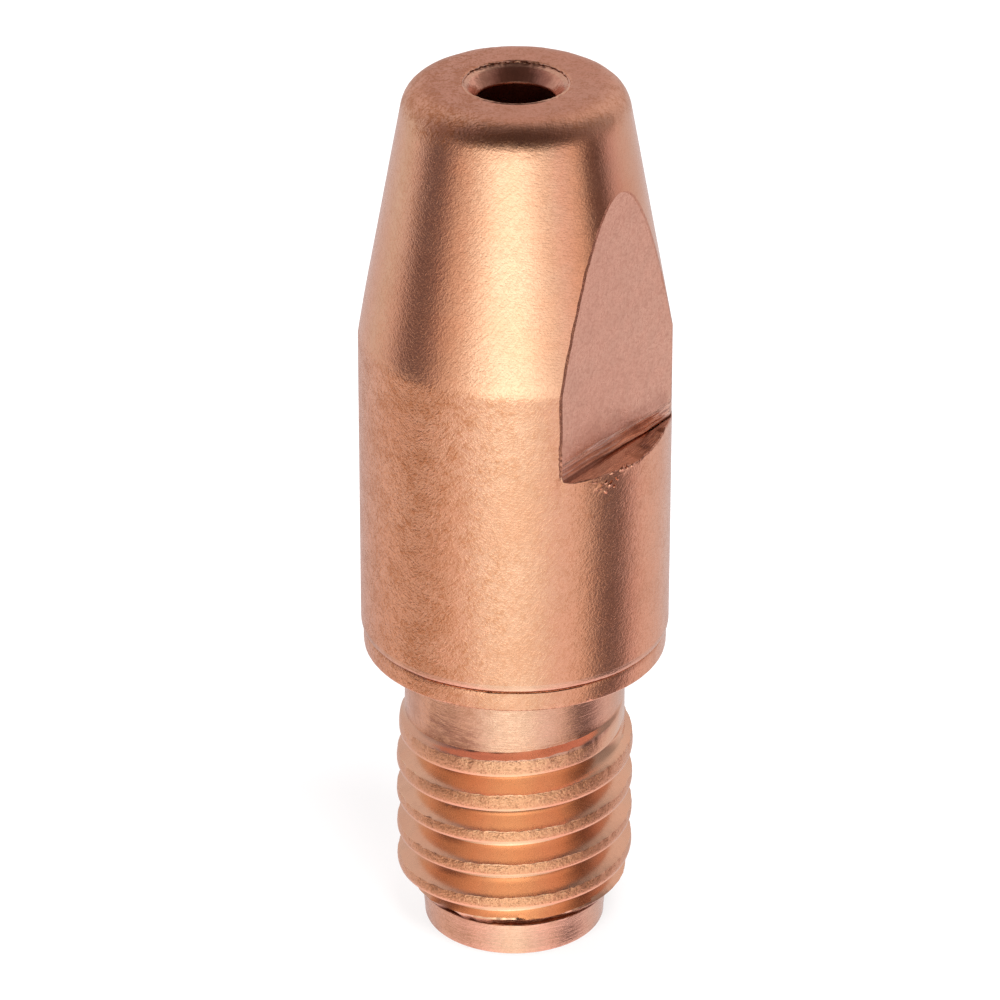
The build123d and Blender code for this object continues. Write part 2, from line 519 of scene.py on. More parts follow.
def threadRadius(angle, ridgeTurn, off):
    blank, crestTop = thread["blankRadius"], thread["crestRadius"]
    crest = round(ridgeTurn - frontDegrees(angle) / 360)
    z = thread["frontCrest"] + ridgeTurn * thread["pitch"] + off
    upper, lower, tilt, turnedUp = crestForm(ridgeTurn)
    # this ridge's flank, and that of the next ridge across the groove
    sides = [("upper", upper, thread["slopeAbove"]), ("lower", lower, thread["slopeBelow"])]
    (_, corner, slope), (nextHalf, _, nextSlope) = sides if off > 0 else reversed(sides)

    # domed crest, torn on its upper part and turned down along its lower edge
    top = crestTop - off * off / (2 * thread["dome"]) - tilt * off
    torn = wobble(angle, off + crest * 1.3, 0.22, 0.07, 2.3)
    torn += 0.7 * wobble(angle, off + crest, 0.10, 0.05, 6.1)
    top -= 0.012 * abs(torn) * smoothStep(-0.6 * lower, -0.3 * lower, off)
    top -= crestRag(angle, ridgeTurn) * smoothStep(-0.18, upper, off)
    top -= thread["turnedDown"] * max(0.0, -off - thread["turnedDownFrom"] * lower)
    top -= turnedUp * max(0.0, off + thread["seam"] * lower)
    # crack where the two sides of the rolled crest meet
    lap = smoothStep(-0.10, 0.25, wobble(angle, crest * 3.7, 0.7, 1.0, 1.7))
    lapPlace = 0.06 * wobble(angle, crest * 2.1, 0.5, 1.0, 4.4) - thread["seam"] * lower
    top -= 0.008 * lap * bell(off - lapPlace, 0.024)

    half = corner + thread["flankHeight"] / slope
    own = softMin(top, blank + (half - abs(off)) * slope, 0.002)
    # in the groove's middle the next ridge's flank may stand higher
    other = 0.0
    nextTurn = ridgeTurn + copysign(1, off)
    if nextTurn < thread["ridgeFade"][0]:
        reach = alongTable(thread[nextHalf], nextTurn) + thread["flankHeight"] / nextSlope
        other = blank + (reach - thread["pitch"] + abs(off)) * nextSlope
    # the root is rounded where the upper flank runs into it
    facingUp, facingDown = (own, other) if off > 0 else (other, own)
    rounded = -softMin(-facingUp, -thread["rootRadius"], thread["rootBlend"])
    radius = max(rounded, facingDown)
    if radius > blank:
        fill = 1 - smoothStep(*thread["ridgeFade"], ridgeTurn)
        notched, turn, width, share = thread["notch"]
        if crest == notched:
            fill *= 1 - share * bell(ridgeTurn - turn, width)
        radius = blank + (radius - blank) * fill
    else:
        fade = smoothStep(*thread["grooveFade"], ridgeTurn + (0.5 if off > 0 else -0.5))
        radius = blank - (blank - radius) * (1 - fade)
    return softMin(leadRadius(angle, z), radius, 0.03)


def threadRows():
    # rows follow the helix, and are pressed together where they meet a level row
    pitch = thread["pitch"]
    seamDegrees = degrees(columns[0][0]) - tip["frontAngle"] - 360
    places = []
    for crest in range(-2, 7):
        places += [(crest, "below", amount) for amount in reversed(thread["belowRows"])]
        places += [(crest, "crest", amount) for amount in thread["crestRows"]]
        places += [(crest, "above", amount) for amount in (*thread["aboveRows"], 1.0)]
        places += [(crest, "foot", amount) for amount in (0.3, 1.0)]
    rows = []
    for crest, part, amount in places:
        row = []
        for angle, _ in columns:
            turn = crest + (seamDegrees + degrees(angle - columns[0][0])) / 360
            upper, lower = crestEdges(angle, turn)
            if part == "crest":
                off = amount * (upper if amount > 0 else lower)
            elif part == "above":
                off = mix(upper, grooveFoot(turn), amount)
            elif part == "foot":
                off = mix(grooveFoot(turn), pitch / 2, amount)
            else:
                off = -mix(lower, pitch / 2, amount)
            row.append((angle, turn, off, thread["frontCrest"] + turn * pitch + off))
        rows.append(row)
    rows = [row for row in rows
            if row[-1][3] > thread["rowsStart"] and row[0][3] < thread["rowsEnd"]]
    count = len(rows)
    made = []
    for j, row in enumerate(rows):
        low = thread["rowsStart"] + thread["squeeze"] * (j + 1)
        high = thread["rowsEnd"] - thread["squeeze"] * (count - j)
        points = []
        for angle, turn, off, z in row:
            level = clamp(z, low, high)
            points.append(polar(threadRadius(angle, turn, off + level - z), angle, level))
        made.append(points)
    return made


# The whole surface, row by row, from the inlet round the outside and back down the bore

surface = {"rows": [], "zones": []}     # a zone names the band of faces above its row


def addRow(zone, points):
    surface["rows"].append(points)
    surface["zones"].append(zone)


def addRound(zone, pointAt, *place):
    # a row whose points come from a function of the angle
    addRow(zone, [pointAt(angle, *place) for angle, _ in columns])


def ringPoint(angle, radius, z, jitter, seed):
    return polar(radius - jitter * abs(wobble(angle, z, 0.3, 0.2, seed + 2.2)), angle, z)


def addRings(zone, rings, jitter=0.0, seed=0.0):
    # plain turned rows, each given by radius and height
    for ring in rings:
        addRound(zone, ringPoint, *ring, jitter, seed)


def crevicePoint(angle, radius, z):
    # gap under the first ridge, uneven in width, whose copper is darkened as painted shade
    return polar(mix(leadCone(z), radius, pilotGap(angle)), angle, z)


def addShank():
    bore, blank = tip["boreRadius"], thread["blankRadius"]
    addRings("bore", ((bore, 3.0), (bore, 1.42), (1.215, 1.37), (1.985, 0.03)))
    addRings("turned", ((2.03, 0.0), (2.5, 0.0), (2.925, 0.0)))
    addRings("pilot", ((2.955, 0.015), (2.972, 0.06), (2.985, 0.3), (3.02, 0.65), (3.05, 0.9),
                       (3.085, 1.06), (3.095, 1.14)), 0.004, 1.0)
    for place in ((3.09, 1.17), (3.06, 1.20), (2.95, 1.225), (2.95, 1.28), (3.03, 1.34)):
        addRound("crevice", crevicePoint, *place)
    z = 1.362
    addRound("threadFoot", lambda angle: polar(leadRadius(angle, z) - 0.005, angle, z))
    for row in threadRows():
        addRow("thread", row)
    addRings("neck", [(blank, z) for z in (8.62, 8.8, 9.1, 9.5, 9.9, 10.13)])
    addRings("seat", ((3.64, 10.20), (3.75, 10.29), (4.1, 10.3), (4.6, 10.3)))


def lipWave(angle):
    return 0.012 * wobble(angle, 4.0, 0.8, 1.0, 7.3)


def lipPoint(angle, radius, z):
    worn = radius - 0.004 * abs(wobble(angle, z, 0.25, 0.1, 5.1))
    return polar(worn, angle, z + lipWave(angle))


def gapPoint(angle, depth, z, below):
    # thin gap under the body's lip, whose copper is darkened as painted shade; the collar's bevel
    # below it is wider at the sides
    around = frontDegrees(angle)
    bevel = 0.02 + 0.15 * bell(around + 46, 17) + 0.08 * bell(around - 47, 16)
    bevel += 0.03 * abs(wobble(angle, 11.0, 1.2, 1.0, 3.3))
    radius = tip["collarRadius"] - depth * (0.055 + bevel * 0.2)
    return polar(radius, angle, z - bevel * below + lipWave(angle))


def addCollar():
    collar = tip["collarRadius"]
    addRings("body", ((4.83, 10.3), (4.88, 10.315), (4.912, 10.36), (collar, 10.43),
                      (collar, 10.6), (collar, 10.78)), 0.012, 6.0)
    gap = (("body", 0.0, 10.98, 1.0), ("body", 0.24, 10.98, 0.15), ("crevice", 0.55, 10.99, 0.0),
           ("crevice", 1.0, 11.005, 0.0), ("crevice", 1.0, 11.025, 0.0))
    for zone, *place in gap:
        addRound(zone, gapPoint, *place)
    lip = ((4.89, 11.035), (4.93, 11.042), (4.958, 11.065), (4.975, 11.10), (4.988, 11.145),
           (4.997, 11.20))
    for place in lip:
        addRound("lip", lipPoint, *place)


def addHead():
    for z in (11.29, 11.5, 12.1, 12.9, 13.7, 14.5, 15.3, 16.1, 16.9, flat["climbStart"]):
        addRound("body", bodyPoint, z)
    climbs = (0.14, 0.26, 0.34, 0.41, 0.47, 0.52, 0.57, 0.62, 0.67, 0.72, 0.77, 0.82, 0.86, 0.90,
              0.94, 0.97, 1.0)
    rises = [0.036 * step for step in range(1, 27)] + [1.0, 1.15, 1.4]
    tall = flat["rowsEnd"] - flat["bottom"]
    shoulder = [("body" if amount < 1 else "rim", "climb", amount) for amount in climbs]
    shoulder += [("rim", "rim", radians(turned)) for turned in (30, 60)]
    shoulder += [("shoulder", "ledge", amount) for amount in (0.0, 0.3, 0.6, 0.78, 0.86, 0.93, 1.0)]
    shoulder += [("head", "wall", rise / tall) for rise in rises]
    for zone, part, amount in shoulder:
        addRow(zone, [shoulderRow(column, part, amount) for column in columns])
    levels = [flat["rowsEnd"], 20.8, 21.3, tip["noseStart"]]
    # on the taper each row stands where one more column leaves the flat
    for step in range(flat["columns"] - 1, -1, -1):
        radius = flat["distance"] / cos(step * flatStep)
        levels.append(tip["noseStart"] + (tip["bodyRadius"] - radius) / noseSlope)
    for z in levels + [27.6, 28.2, 28.8]:
        addRow("head", [headPoint(column, z) for column in columns])


def roundPoint(angle, turn):
    # on the nose's rounding, with its wear
    z = noseCentreZ + tip["noseRound"] * sin(turn)
    worn = 0.022 * abs(wobble(angle, z * 1.5, 0.9, 0.8, 6.6))
    worn += 0.006 * abs(wobble(angle, z, 0.3, 0.3, 2.6))
    worn = worn * sin(turn) ** 0.5 + tip["faceDrop"] * smoothStep(0.6, 1.5, turn)
    radius = noseCentreR + tip["noseRound"] * cos(turn)
    return polar(radius - worn * cos(turn), angle, z - worn * sin(turn))


def facePoint(angle, radius):
    dent = 0.010 * abs(wobble(angle, radius * 3, 0.7, 1.0, 1.1))
    return polar(radius, angle, tip["length"] - tip["faceDrop"] - dent)


def burrPoint(angle, radius, drop, burr):
    # on the rim of the countersink, whose curled burr is worst at the back
    size = 0.3 + 1.0 * bell(abs(frontDegrees(angle)) - 170, 55)
    curl = wobble(angle, 1.0, 0.45, 1.0, 8.8) + 0.6 * wobble(angle, 5.0, 0.20, 1.0, 3.4)
    lift = 0.05 * burr * size * curl
    return polar(radius + 0.05 * burr * size * wobble(angle, 9.0, 0.28, 1.0, 1.9), angle,
                 min(tip["length"], tip["length"] - drop + lift))


def addNose():
    bends = 11
    for k in range(bends + 1):
        turn = mix(noseTilt, pi / 2, k / bends)
        addRound("head", roundPoint, turn)
    for radius in (2.3, 2.0, 1.82, 1.74):
        addRound("head", facePoint, radius)
    # a fine groove, then the burr
    rim = ((1.70, 0.058, 0.0), (1.675, 0.035, 0.4), (1.645, 0.022, 1.0), (1.634, 0.032, 1.0),
           (1.628, 0.085, 0.6), (1.60, 0.11, 0.2), (1.56, 0.135, 0.0))
    for place in rim:
        addRound("burr", burrPoint, *place)
    addRings("sink", ((1.50, 29.83), (1.36, 29.65), (1.25, 29.51), (1.225, 29.475),
                      (1.206, 29.43)), 0.01, 2.0)
    addRings("bore", [(tip["boreRadius"], z) for z in (29.37, 28.6, 26.0, 19.0, 9.0)])


def zipSeam(faces, first, last, left, right):
    # joins two columns whose rows stand at different heights
    a = b = first
    rows = surface["rows"]
    while a < last or b < last:
        leftNext = rows[a + 1][left][2] if a < last else 1e9
        rightNext = rows[b + 1][right][2] if b < last else 1e9
        low = (a * columnCount + left, b * columnCount + right)
        if rightNext <= leftNext:
            faces.append((*low, (b + 1) * columnCount + right))
            b += 1
        else:
            faces.append((*low, (a + 1) * columnCount + left))
            a += 1


def boundaryStep(z):
    radius = headRadius(z)
    if z < flat["bottom"] or radius <= flat["distance"]:
        return 0
    return round(acos(flat["distance"] / radius) / flatStep)


# finish of each zone that isn't named for its own
finishOf = {"pilot": "turned", "threadFoot": "thread", "neck": "turned", "seat": "turned",
            "lip": "turned", "rim": "body", "shoulder": "body", "head": "body", "burr": "turned"}
plainDepth = 0.004      # thread faces this near to the blank have the neck's finish


def looksBeside(zone, beyond, here, there):
    # finishes of a face's two halves, by how many columns it lies beyond the flat's border
    if here == 0 or beyond > 1:
        return ("body", "body")
    if zone != "head":
        inside = "milled" if zone == "shoulder" else "edge"
        return (inside, inside) if beyond <= 0 else ("body", "body")
    if beyond < -1:
        return ("milled", "milled")
    if there >= here:
        return ("milled", "milled") if beyond < 0 else ("edge", "edge")
    if here > 2:
        return {-1: ("milled", "edge"), 0: ("edge", "edge"), 1: ("edge", "body")}[beyond]
    return {-1: ("milled", "milled"), 0: ("milled", "body"), 1: ("body", "body")}[beyond]


def isPlain(radii):
    return max(abs(radius - thread["blankRadius"]) for radius in radii) < plainDepth


def makeFaces(points):
    rows, zones = surface["rows"], surface["zones"]
    faces, slots = [], []
    threadFirst, threadLast = zones.index("threadFoot"), zones.index("neck")
    places = [abs(placeOf(offset)) for _, offset in columns]
    for j, zone in enumerate(zones):
        above = (j + 1) % len(rows)
        helical = threadFirst <= j < threadLast
        for i in range(columnCount - 1 if helical else columnCount):
            right = (i + 1) % columnCount
            quad = (j * columnCount + i, j * columnCount + right,
                    above * columnCount + right, above * columnCount + i)
            outer = max(places[i], places[right])
            if zone not in ("head", "shoulder", "rim") or outer == farFromFlat:
                faces.append(quad)
                plain = zone == "thread" and isPlain(
                    [hypot(*rows[j][i][:2]), hypot(*rows[above][right][:2])])
                slots.append("turned" if plain else finishOf.get(zone, zone))
                continue
            here = there = flat["columns"]
            if zone == "head":
                here, there = boundaryStep(rows[j][i][2]), boundaryStep(rows[above][i][2])
            beyond = outer - here
            looks = looksBeside(zone, beyond, here, there)
            if zone != "head" or there == here or here == 0 or abs(beyond) > 1:
                faces.append(quad)
                slots.append(looks[0])
                continue
            # the flat narrows upwards, so its border crosses the quad
            a, b, c, d = quad
            faces += [(a, b, d), (b, c, d)] if places[right] > places[i] else [(a, b, c), (a, c, d)]
            slots += looks
    before = len(faces)
    zipSeam(faces, threadFirst, threadLast, columnCount - 1, 0)
    slots += ["turned" if isPlain([points[n].xy.length / mm for n in face]) else "thread"
              for face in faces[before:]]
    before = len(faces)
    for n, curl in enumerate(flat["curls"]):
        addCurl(points, faces, curl, n * 7.7)
    slots += ["edge"] * (len(faces) - before)
    return faces, slots


def sharpenBorders(mesh, names):
    # smooth faces, with sharp edges round the flats and on steep bends
    work = bmesh.new()
    work.from_mesh(mesh)
    bmesh.ops.remove_doubles(work, verts=work.verts, dist=2e-7)
    bmesh.ops.recalc_face_normals(work, faces=work.faces)
    cut = {names.index("milled"), names.index("edge")}
    for edge in work.edges:
        looks = {face.material_index for face in edge.link_faces}
        border = len(looks) > 1 and looks & cut
        steep = len(edge.link_faces) == 2 and edge.calc_face_angle(0) > radians(26)
        edge.smooth = not border and not steep
    for face in work.faces:
        face.smooth = True
    work.to_mesh(mesh)
    work.free()


def makeTipMesh(materials):
    for addPart in (addShank, addCollar, addHead, addNose):
        addPart()
    points = [Vector(point) * mm for row in surface["rows"] for point in row]
    faces, slots = makeFaces(points)
    # nothing passes the CAD's box, whose round sides are facets
    for point in points:
        for axis in range(3):
            point[axis] = clamp(point[axis], cadBounds[0][axis], cadBounds[1][axis])
    mesh = bpy.data.meshes.new("copperTip")
    mesh.from_pydata(points, [], faces)
    names = list(materials)
    for name in names:
        mesh.materials.append(materials[name])
    for polygon, look in zip(mesh.polygons, slots):
        polygon.material_index = names.index(look)
    sharpenBorders(mesh, names)
    return mesh


# Shader maths: a wrapped socket, so that expressions add their own Math nodes

def operator(operation, reflected=False):
    def act(self, other):
        return self.graph.maths(operation, *((other, self) if reflected else (self, other)))
    return act


class Wire:
    def __init__(self, graph, socket):
        self.graph = graph
        self.socket = socket

    __add__, __radd__ = operator("ADD"), operator("ADD", True)
    __sub__, __rsub__ = operator("SUBTRACT"), operator("SUBTRACT", True)
    __mul__, __rmul__ = operator("MULTIPLY"), operator("MULTIPLY", True)
    __truediv__, __rtruediv__ = operator("DIVIDE"), operator("DIVIDE", True)


class Graph:
    def __init__(self, owner):
        owner.use_nodes = True
        self.tree = owner.node_tree
        self.tree.nodes.clear()

    def node(self, kind, settings=None, values=None, output=0):
        # the kind is the node's type without the word ShaderNode
        made = self.tree.nodes.new("ShaderNode" + kind)
        for key, value in (settings or {}).items():
            if key == "stops":
                ramp = made.color_ramp
                while len(ramp.elements) < len(value):
                    ramp.elements.new(0.5)
                for stop, (place, colour) in zip(ramp.elements, value):
                    stop.position = place
                    stop.color = (*colour, 1)
            else:
                setattr(made, key, value)
        for key, value in (values or {}).items():
            if isinstance(value, Wire):
                self.tree.links.new(value.socket, made.inputs[key])
            else:
                made.inputs[key].default_value = value
        return Wire(self, made.outputs[output]) if made.outputs else None

    def maths(self, operation, *values):
        return self.node("Math", {"operation": operation}, dict(enumerate(values)))

    def blend(self, factor, *colours):
        # a colour mix; numbers stay outside it
        first, second = [colour if isinstance(colour, Wire) else (*colour, 1) for colour in colours]
        return self.node("Mix", {"data_type": "RGBA"}, {0: factor, 6: first, 7: second}, 2)

    def smooth(self, start, end, value):
        return self.node("MapRange", {"interpolation_type": "SMOOTHSTEP"},
                         {"Value": value, "From Min": start, "From Max": end})

    def cloud(self, place, scale, detail=2.0, roughness=0.5):
        return self.node("TexNoise", {}, {"Vector": place, "Scale": scale, "Detail": detail,
                                          "Roughness": roughness})

    def scaled(self, vector, amount):
        return self.node("VectorMath", {"operation": "SCALE"}, {0: vector, "Scale": amount})

    def dot(self, first, second):
        return self.node("VectorMath", {"operation": "DOT_PRODUCT"}, {0: first, 1: second}, 1)

    def join(self, *parts):
        return self.node("CombineXYZ", {}, dict(enumerate(parts)))

    def split(self, vector):
        parts = self.node("SeparateXYZ", {}, {0: vector}).socket.node.outputs
        return [Wire(self, part) for part in parts]


# Copper, in the finishes that the tip has

# what a finish has where it names nothing else
copperShared = {"vary": 0.10, "mottles": 0.5, "rings": 0.0, "specks": 0.3, "patches": 0.3,
                "coneFelt": 1.0, "cleaner": 0.0}

copper = {
    "body": {
        "light": (0.965, 0.565, 0.38), "deep": (0.93, 0.50, 0.32), "stain": (0.72, 0.33, 0.17),
        "roughness": 0.25, "coneRoughness": 0.21, "topRoughness": 0.36, "vary": 0.12,
        "felt": 0.69, "dimples": 0.25, "mottles": 0.7, "coneFelt": 0.50, "pits": 0.08,
        "specks": 0.46, "patches": 0.34, "cleaner": 0.6,
    },
    "milled": {
        "light": (0.97, 0.63, 0.465), "deep": (0.945, 0.575, 0.42), "stain": (0.70, 0.36, 0.25),
        "roughness": 0.30, "vary": 0.08, "felt": 0.5, "dimples": 0.4, "mottles": 0.2,
        "pits": 0.2, "specks": 0.52, "patches": 0.24,
    },
    "thread": {
        "light": (0.965, 0.62, 0.415), "deep": (0.94, 0.565, 0.37), "stain": (0.42, 0.17, 0.09),
        "roughness": 0.25, "vary": 0.08, "felt": 0.05, "dimples": 0.05, "mottles": 0.1,
        "pits": 0.0, "specks": 0.0, "patches": 0.08,
    },
    "turned": {
        "light": (0.91, 0.575, 0.41), "deep": (0.88, 0.52, 0.36), "stain": (0.64, 0.34, 0.21),
        "roughness": 0.24, "vary": 0.06, "felt": 0.25, "dimples": 0.3, "rings": 1.7,
        "pits": 0.06, "specks": 0.22, "patches": 0.36,
    },
    # painted shade: copper darkened far below the rest, for the gaps under the first ridge and
    # under the body's lip
    "crevice": {
        "light": (0.55, 0.24, 0.14), "deep": (0.30, 0.11, 0.065), "stain": (0.14, 0.05, 0.03),
        "roughness": 0.40, "felt": 1.0, "dimples": 1.0, "pits": 0.5,
    },
    "edge": {
        "light": (0.93, 0.50, 0.34), "deep": (0.80, 0.40, 0.26), "stain": (0.34, 0.14, 0.09),
        "roughness": 0.30, "felt": 0.9, "dimples": 0.9, "pits": 0.4, "patches": 0.2,
    },
    "sink": {
        "light": (0.93, 0.53, 0.39), "deep": (0.85, 0.43, 0.29), "stain": (0.45, 0.19, 0.11),
        "roughness": 0.20, "vary": 0.06, "felt": 0.25, "dimples": 0.4, "mottles": 0.4,
        "rings": 0.3, "pits": 0.2, "specks": 0.2, "patches": 0.2,
    },
    # painted shade: the bore's copper is darkened far below the rest, for the shade inside it
    "bore": {
        "light": (0.55, 0.24, 0.14), "deep": (0.38, 0.14, 0.08), "stain": (0.16, 0.06, 0.035),
        "roughness": 0.40, "felt": 0.5, "dimples": 0.5, "rings": 0.3, "pits": 0.4,
    },
}

# directions that the tumbled fibres of the skin run in
fibreDirections = ((0.55, 0.35, 0.76), (-0.62, 0.49, 0.61), (0.29, -0.87, 0.40),
                   (0.66, 0.72, -0.21))


def addFibres(graph, place, scale, direction):
    # noise drawn out along one direction
    drawn = graph.scaled(direction, graph.dot(place, direction) * 0.80)
    squeezed = graph.node("VectorMath", {"operation": "SUBTRACT"}, {0: place, 1: drawn})
    return graph.cloud(squeezed, scale, 1.0)


def makeCopper(name, look, extras=""):
    even = {"coneRoughness": look["roughness"], "topRoughness": look["roughness"]}
    look = {**copperShared, **even, **look}
    material = bpy.data.materials.new(name)
    graph = Graph(material)
    smooth, cloud, blend = graph.smooth, graph.cloud, graph.blend
    place = graph.scaled(graph.node("TexCoord", output="Object"), 1 / mm)
    x, y, z = graph.split(place)
    front = radians(tip["frontAngle"])

    clouds = cloud(place, 0.35, 3.0, 0.55)
    mottle = cloud(place, 1.5, 4.0, 0.6)
    grain = cloud(place, 4.6, 3.0, 0.55)

    # the taper above the body is smoother; its border wanders a little
    onCone = smooth(21.35, 21.75, z + (mottle - 0.5) * 0.9)
    onTop = smooth(28.9, 29.8, z + (mottle - 0.5) * 0.6)
    strength = 1 - onCone * (1 - onTop) * (1 - look["coneFelt"])

    # felt of fine crossing scratches that tumbling leaves
    felt = 0.0
    for n, direction in enumerate(fibreDirections):
        beside = graph.maths("ABSOLUTE", addFibres(graph, place, 7.2 + n, direction) - 0.5)
        felt = 1 - smooth(0.0, 0.12, beside) + felt
    felt = felt / len(fibreDirections)
    leftward = x * sin(front) - y * cos(front)
    heavier = smooth(-0.6, 3.6, leftward + (clouds - 0.5) * 4.0) * 0.85 + 0.75
    height = felt * look["felt"] * heavier + grain * look["dimples"] + mottle * look["mottles"]
    height = height * strength

    # lines left by turning, round the axis
    rings = cloud(graph.join(x * 0.12, y * 0.12, z), 13.0, 3.0, 0.7)
    height = height + rings * look["rings"]

    tone = clouds * 0.5 + mottle * 0.5
    colour = blend(smooth(0.40, 0.60, tone), look["deep"], look["light"])
    tarnish = smooth(0.36, 0.66, grain * 0.45 + felt * 0.55) * look["specks"]
    tarnish = (tarnish + smooth(0.40, 0.66, mottle) * look["patches"]) * heavier
    tarnish = tarnish * (1 - onCone * (1 - onTop) * look["cleaner"] + onTop * 0.5)
    colour = blend(tarnish, colour, look["stain"])
    pits = smooth(0.70, 0.78, grain) * strength
    base = look["roughness"]
    rough = base + (look["coneRoughness"] - base) * onCone
    rough = rough + (look["topRoughness"] - rough) * onTop
    rough = rough + (mottle - 0.5) * look["vary"] + (felt - 0.45) * look["vary"]
    paint = []          # pairs of share and colour, laid over the skin in turn

    if extras == "streaks":
        # the cutter's marks run along the foot of the flat and over the ledge
        streaks = cloud(graph.join(x, y * 0.035, z), 9.5, 2.5, 0.7)
        above = z - flat["bottom"]
        foot = above - flat["streaksEnd"] + y * flat["streaksFall"]
        marked = 1 - smooth(-0.02, 0.10, foot + (streaks - 0.5) * 0.5)
        onWall = smooth(0.03, 0.07, above)
        height = height + streaks * marked * (onWall * 3.6 + 1.4)
        rough = rough - marked * 0.10
        depth = graph.maths("ABSOLUTE", x) - flat["distance"]
        # painted shade in the crease where the flat's wall meets the ledge
        creaseShade = onWall * (1 - smooth(0.08, 0.12, above))
        creaseShade = creaseShade + (1 - onWall) * (1 - smooth(0.06, 0.17, depth)) * 1.1
        # the marks are painted as dark lines, painted shade, with pale lines between them, painted
        # highlights
        lines = marked * onWall * smooth(0.50, 0.56, streaks) * 0.60 + creaseShade * 0.6
        bright = marked * onWall * (1 - smooth(0.41, 0.47, streaks))
        paint = [(lines, (0.46, 0.26, 0.20)), (bright * 0.6, (0.99, 0.75, 0.62))]

    if extras == "paintedReflection":
        # streaked patch on the neck, left of the front, painted dark: a painted reflection of a
        # dark part of the surround
        patch = front - radians(36)
        toPatch = x * cos(patch) + y * sin(patch)
        paintedReflection = smooth(3.38, 3.58, toPatch + (mottle - 0.5) * 0.4)
        paintedReflection = paintedReflection * smooth(7.6, 8.0, z) * (1 - smooth(8.6, 9.3, z))
        paint = [(paintedReflection * smooth(0.44, 0.56, rings) * 0.6, (0.40, 0.19, 0.14))]

    if extras == "crests":
        # where on the helix a point lies: its distance along the axis from the nearest crest
        toFront = x * cos(front) + y * sin(front)
        toRight = y * cos(front) - x * sin(front)
        turn = graph.maths("ARCTAN2", toRight, toFront)
        lift = (z - thread["frontCrest"]) / thread["pitch"] - turn / (2 * pi) + 0.5
        part = graph.maths("FRACT", lift)
        off = (part - 0.5) * thread["pitch"]
        middle = off + 0.12 - smooth(5.8, 7.6, z) * 0.09
        width = smooth(4.8, 6.9, z) * 0.08 + 0.20
        lumpy = cloud(place, 6.0, 3.0, 0.65)
        away = graph.maths("ABSOLUTE", middle) - width
        crest = 1 - smooth(-0.02, 0.03, away + (lumpy - 0.5) * 0.05)
        crest = crest * smooth(1.65, 1.85, z)
        ending = lift - part + turn / (2 * pi)
        crest = crest * (1 - smooth(4.05, 4.18, ending))
        upper = crest * smooth(-0.80, -0.50, middle / width)
        torn = cloud(graph.join(turn * 2.4, z, x * 0.1), 11.0, 3.0, 0.65)
        crumbs = cloud(place, 15.0, 2.0, 0.6)
        height = height + ((torn - 0.5) * 2.4 + (crumbs - 0.5) * 1.8 + (lumpy - 0.5) * 1.4) * upper
        rough = rough + upper * 0.05
        # the torn upper part is deeper in colour than the pressed lower edge, least so at the top:
        # partly its own colour, partly painted shade, strongest towards the front
        upper = upper * (smooth(1.4, 3.3, toFront) * 0.8 + 0.2)
        # the last ridge's upper flank is painted darker as painted shade, most at the front; it
        # starts a turn back there
        turnBack = smooth(radians(80), radians(115), turn)
        last = smooth(4.66, 4.72, lift + turnBack)
        shade = blend(smooth(2.5, 3.1, toFront), (0.86, 0.52, 0.36), (0.62, 0.36, 0.29))
        # the dark torn and crumb flecks are painted shadow in the torn top, the pale crumb flecks
        # painted glints, both strongest towards the front
        paint = [(crest, (0.96, 0.545, 0.345)),
                 (upper * (1 - smooth(6.9, 7.5, z) * 0.5) * 0.9, (0.88, 0.45, 0.25)),
                 ((1 - smooth(0.36, 0.48, torn)) * upper * 0.55, (0.42, 0.20, 0.10)),
                 ((1 - smooth(0.34, 0.44, crumbs)) * upper * 0.5, (0.42, 0.20, 0.10)),
                 (smooth(0.54, 0.66, crumbs) * upper * 0.7, (0.93, 0.55, 0.33)),
                 (last * 0.7, shade)]

    for share, tint in [*paint, (pits * look["pits"], look["stain"])]:
        colour = blend(share, colour, tint)
    bump = graph.node("Bump", {}, {"Strength": 1.0, "Distance": 0.010 * mm, "Height": height})
    skin = graph.node("BsdfPrincipled", {}, {
        "Base Color": colour, "Metallic": 1.0, "Roughness": rough + pits * 0.08, "Normal": bump})
    graph.node("OutputMaterial", {}, {"Surface": skin})
    return material


extras = {"milled": "streaks", "thread": "crests", "turned": "paintedReflection"}
materials = {name: makeCopper("copper" + name.capitalize(), look, extras.get(name, ""))
             for name, look in copper.items()}
print("copper finishes made:", len(materials))

tipMesh = makeTipMesh(materials)
tipPiece = addObject("copperTip", tipMesh)
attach(tipPiece, "root")
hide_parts("contact_tip")
tipMesh.calc_loop_triangles()
print("tip made:", len(tipMesh.vertices), "vertices,", len(tipMesh.loop_triangles), "triangles")


# Studio: a pale floor, soft lamps and a painted surround that the metal mirrors

